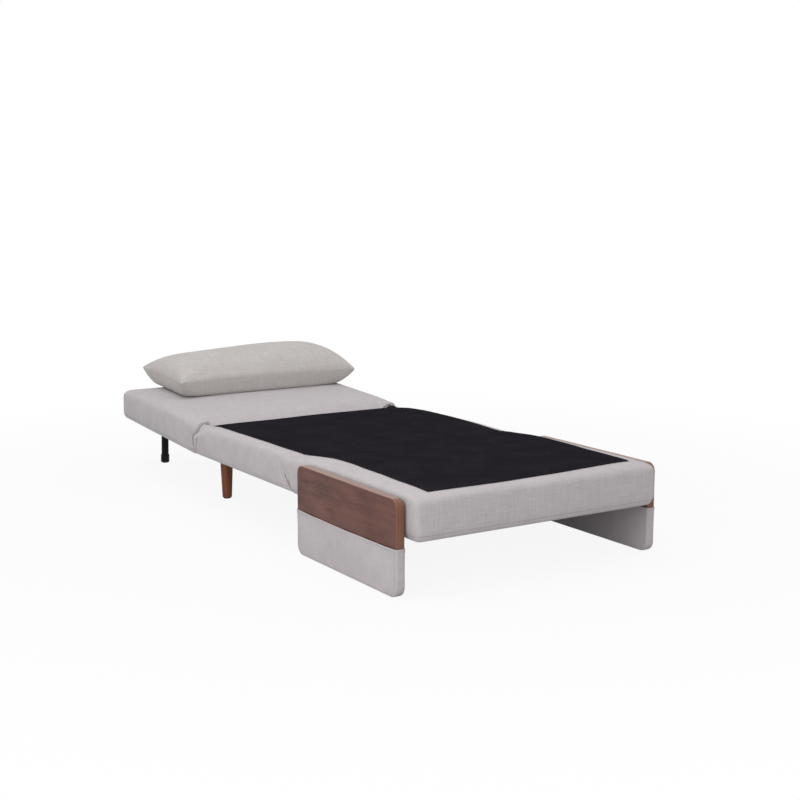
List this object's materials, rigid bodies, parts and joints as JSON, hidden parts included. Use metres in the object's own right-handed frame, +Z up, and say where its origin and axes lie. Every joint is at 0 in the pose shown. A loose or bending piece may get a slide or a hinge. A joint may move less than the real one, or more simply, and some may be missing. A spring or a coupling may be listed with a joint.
{
  "type": "convertible chair bed",
  "caption": "Single chair bed opened flat, with pale grey cushions, walnut arm boards that serve as legs, a folding head section on a black tube leg and a loose pillow.",
  "frame": {"origin": "centre of the bounding box's footprint, on the floor", "axes": "+Y runs along the bed to the head end, +X is the width, +Z is up"},
  "size_m": [0.833, 1.9489, 0.4258],
  "materials": {
    "section_fabric": "light warm grey linen weave",
    "pillow_fabric": "light warm grey linen weave",
    "black_cloth": "black non-woven cloth",
    "foam": "open cell foam",
    "pillow_fibre": "loose polyester fibre",
    "webbing": "woven elastic webbing",
    "frame_timber": "planed softwood",
    "board_plywood": "walnut stained plywood, satin",
    "leg_timber": "walnut stained hardwood, satin",
    "spring_steel": "oiled spring wire",
    "plated_steel": "zinc plated",
    "black_tube": "black powder coat",
    "black_plastic": "moulded black plastic"
  },
  "bodies": {
    "base": {"base_frame": "frame_timber", "base_webbing": "webbing", "base_foam": "foam", "base_cover": "section_fabric", "base_dust_cover": "black_cloth", "base_sleep_panel": "black_cloth", "leg_front_left": "leg_timber", "leg_front_right": "leg_timber", "leg_rear_left": "leg_timber", "leg_rear_right": "leg_timber", "leg_bolts": "plated_steel", "leg_glides": "black_plastic", "fold_strap_base_left": "plated_steel", "fold_strap_base_right": "plated_steel", "fold_rivets": "plated_steel", "ratchet_plate_left": "plated_steel", "ratchet_plate_right": "plated_steel", "ratchet_pawls": "plated_steel", "recline_rivets": "plated_steel", "base_hinge_screws": "plated_steel"},
    "foot": {"foot_frame": "frame_timber", "foot_springs": "spring_steel", "foot_spring_clips": "spring_steel", "foot_seat_foam": "foam", "foot_top_pad": "foam", "foot_cover": "section_fabric", "foot_sleep_panel": "black_cloth", "fold_strap_foot_left": "plated_steel", "fold_strap_foot_right": "plated_steel", "arm_board_left": "board_plywood", "arm_board_right": "board_plywood", "arm_sleeve_left": "section_fabric", "arm_sleeve_right": "section_fabric", "arm_spacers": "plated_steel", "arm_bolts": "plated_steel", "arm_inserts": "plated_steel", "foot_hinge_screws": "plated_steel"},
    "head": {"head_frame": "frame_timber", "head_webbing": "webbing", "head_foam": "foam", "head_cover": "section_fabric", "ratchet_arm_left": "plated_steel", "ratchet_arm_right": "plated_steel", "head_leg_clamps": "black_tube", "head_clamp_screws": "plated_steel", "head_hinge_screws": "plated_steel"},
    "head_leg": {"head_leg_tube": "black_tube", "head_leg_feet": "black_plastic"},
    "pillow": {"pillow_cover": "pillow_fabric", "pillow_filling": "pillow_fibre"}
  },
  "joints": [
    {"name": "fold", "type": "hinge", "parent": "base", "child": "foot", "pos_m": [0, -0.33355, 0.249], "axis": [-1, 0, 0], "range_deg": [0, 180]},
    {"name": "recline", "type": "hinge", "parent": "base", "child": "head", "pos_m": [0, 0.31745, 0.239], "axis": [1, 0, 0], "range_deg": [0, 72]},
    {"name": "head_leg_fold", "type": "hinge", "parent": "head", "child": "head_leg", "pos_m": [0, 0.89343, 0.15893], "axis": [-1, 0, 0], "range_deg": [0, 88]},
    {"name": "pillow_lift", "type": "slide", "parent": "head", "child": "pillow", "axis": [0, -0.0523, 0.9986], "range_m": [0, 0.25]}
  ]
}
